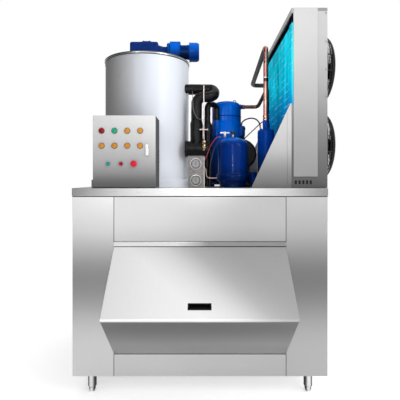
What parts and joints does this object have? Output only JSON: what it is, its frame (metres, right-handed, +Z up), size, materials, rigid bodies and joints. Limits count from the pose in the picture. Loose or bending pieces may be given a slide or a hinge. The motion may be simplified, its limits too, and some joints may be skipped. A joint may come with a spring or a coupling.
{
  "type": "flake ice machine",
  "caption": "Free-standing flake ice machine: steel ice bin with a sloping door, drum evaporator, control box, compressor set and upright fan-cooled condenser on its deck.",
  "frame": {"origin": "middle of the machine's footprint box, on the floor under the levelling feet", "axes": "+Z up, +X to the right seen from the front, +Y from the sloping door to the back wall"},
  "size_m": [1.703, 1.4316, 2.314],
  "materials": {
    "bin_steel": "satin stainless sheet, brushed along the panels, slightly mottled reflections",
    "foot_steel": "turned stainless",
    "galvanised": "zinc-coated sheet, faint spangle",
    "chrome": "polished plating",
    "brass": "machined brass",
    "copper": "drawn copper tube, slightly tarnished",
    "white_enamel": "semi-gloss white paint",
    "light_enamel": "light grey powder coat",
    "blue_paint": "gloss blue enamel",
    "cyan_fins": "blue-green coated aluminium fins",
    "black_paint": "satin black paint",
    "black_foam": "closed-cell pipe insulation, matt",
    "black_plastic": "moulded",
    "red_plastic": "moulded",
    "green_plastic": "moulded"
  },
  "bodies": {
    "machine": {"bin_left_wall": "bin_steel", "bin_right_wall": "bin_steel", "bin_back_wall": "bin_steel", "bin_floor": "bin_steel", "upper_front_panel": "bin_steel", "hinge_rail": "bin_steel", "lower_front_panel": "bin_steel", "nose_hood": "bin_steel", "top_plate": "bin_steel", "control_mount": "galvanised", "relay_plate": "galvanised", "gauge_panel": "galvanised", "gauge_upper": "galvanised", "gauge_lower": "galvanised", "gusset_front": "galvanised", "gusset_rear": "galvanised", "expansion_valve": "brass", "riser_pipe": "copper", "discharge_pipe": "copper", "oil_return_tube": "copper", "drum_base_ring": "white_enamel", "drum_shell": "white_enamel", "drum_lid": "white_enamel", "control_case": "light_enamel", "condenser_case": "light_enamel", "condenser_end_cover": "light_enamel", "gearbox": "blue_paint", "motor_body": "blue_paint", "motor_cowl": "blue_paint", "compressor": "blue_paint", "receiver": "blue_paint", "oil_separator": "blue_paint", "filter_drier": "blue_paint", "condenser_coil": "cyan_fins", "fan_guard_lower": "black_paint", "fan_guard_upper": "black_paint", "heat_exchanger": "black_foam", "suction_pipe": "black_foam", "compressor_suction_pipe": "black_foam", "suction_accumulator": "black_foam", "capillary_tube": "red_plastic"},
    "bin_door": {"bin_door": "bin_steel", "door_pull": "black_plastic"},
    "control_door": {"control_door": "light_enamel"},
    "latch_lever": {"latch_lever": "chrome"},
    "start_button": {"start_button": "green_plastic"},
    "stop_button": {"stop_button": "red_plastic"},
    "emergency_button": {"emergency_button": "red_plastic"},
    "needle_upper": {"gauge_needle_upper": "black_plastic"},
    "needle_lower": {"gauge_needle_lower": "black_plastic"},
    "liquid_valve_knob": {"liquid_valve_knob": "chrome"},
    "relief_valve_knob": {"relief_valve_knob": "black_plastic"},
    "fan_lower": {"fan_lower": "black_plastic"},
    "fan_upper": {"fan_upper": "black_plastic"},
    "ice_rotor": {"rotor_shaft": "foot_steel", "scraper_blade": "galvanised"},
    "foot_front_left": {"levelling_foot_front_left": "foot_steel"},
    "foot_front_right": {"levelling_foot_front_right": "foot_steel"},
    "foot_rear_left": {"levelling_foot_rear_left": "foot_steel"},
    "foot_rear_right": {"levelling_foot_rear_right": "foot_steel"}
  },
  "joints": [
    {"name": "bin_door_hinge", "type": "hinge", "parent": "machine", "child": "bin_door", "pos_m": [-0.0985, -0.39549, 0.8977], "axis": [-1, 0, 0], "range_deg": [0, 90]},
    {"name": "control_door_hinge", "type": "hinge", "parent": "machine", "child": "control_door", "pos_m": [-0.7301, -0.38219, 1.25], "axis": [0, 0, -1], "range_deg": [0, 110]},
    {"name": "latch_lever_hinge", "type": "hinge", "parent": "control_door", "child": "latch_lever", "pos_m": [-0.4105, -0.38819, 1.4988], "axis": [-1, 0, 0], "range_deg": [0, 75]},
    {"name": "start_button_press", "type": "slide", "parent": "control_door", "child": "start_button", "axis": [0, 1, 0], "range_m": [0, 0.004], "stiffness_N_per_m": 400},
    {"name": "stop_button_press", "type": "slide", "parent": "control_door", "child": "stop_button", "axis": [0, 1, 0], "range_m": [0, 0.004], "stiffness_N_per_m": 400},
    {"name": "emergency_button_press", "type": "slide", "parent": "control_door", "child": "emergency_button", "axis": [0, 1, 0], "range_m": [0, 0.006]},
    {"name": "needle_upper_sweep", "type": "hinge", "parent": "machine", "child": "needle_upper", "pos_m": [-0.124, -0.32719, 1.3856], "axis": [0, 1, 0], "range_deg": [-135, 135], "stiffness_Nm_per_rad": 0.01},
    {"name": "needle_lower_sweep", "type": "hinge", "parent": "machine", "child": "needle_lower", "pos_m": [-0.124, -0.32719, 1.2867], "axis": [0, 1, 0], "range_deg": [-135, 135], "stiffness_Nm_per_rad": 0.01},
    {"name": "liquid_valve_turn", "type": "hinge", "parent": "machine", "child": "liquid_valve_knob", "pos_m": [0.0595, -0.16719, 1.579], "axis": [0, 0, 1], "range_deg": [0, 720]},
    {"name": "relief_valve_turn", "type": "hinge", "parent": "machine", "child": "relief_valve_knob", "pos_m": [0.1115, -0.16719, 1.579], "axis": [0, 0, 1], "range_deg": [0, 720]},
    {"name": "fan_lower_spin", "type": "hinge", "parent": "machine", "child": "fan_lower", "pos_m": [0.6515, 0.11781, 1.526], "axis": [1, 0, 0], "continuous": true},
    {"name": "fan_upper_spin", "type": "hinge", "parent": "machine", "child": "fan_upper", "pos_m": [0.6515, 0.11781, 2.063], "axis": [1, 0, 0], "continuous": true},
    {"name": "ice_rotor_spin", "type": "hinge", "parent": "machine", "child": "ice_rotor", "pos_m": [-0.4795, 0.13481, 1.241], "axis": [0, 0, 1], "continuous": true},
    {"name": "foot_front_left_thread", "type": "slide", "parent": "machine", "child": "foot_front_left", "axis": [0, 0, -1], "range_m": [0, 0.025]},
    {"name": "foot_front_right_thread", "type": "slide", "parent": "machine", "child": "foot_front_right", "axis": [0, 0, -1], "range_m": [0, 0.025]},
    {"name": "foot_rear_left_thread", "type": "slide", "parent": "machine", "child": "foot_rear_left", "axis": [0, 0, -1], "range_m": [0, 0.025]},
    {"name": "foot_rear_right_thread", "type": "slide", "parent": "machine", "child": "foot_rear_right", "axis": [0, 0, -1], "range_m": [0, 0.025]}
  ]
}
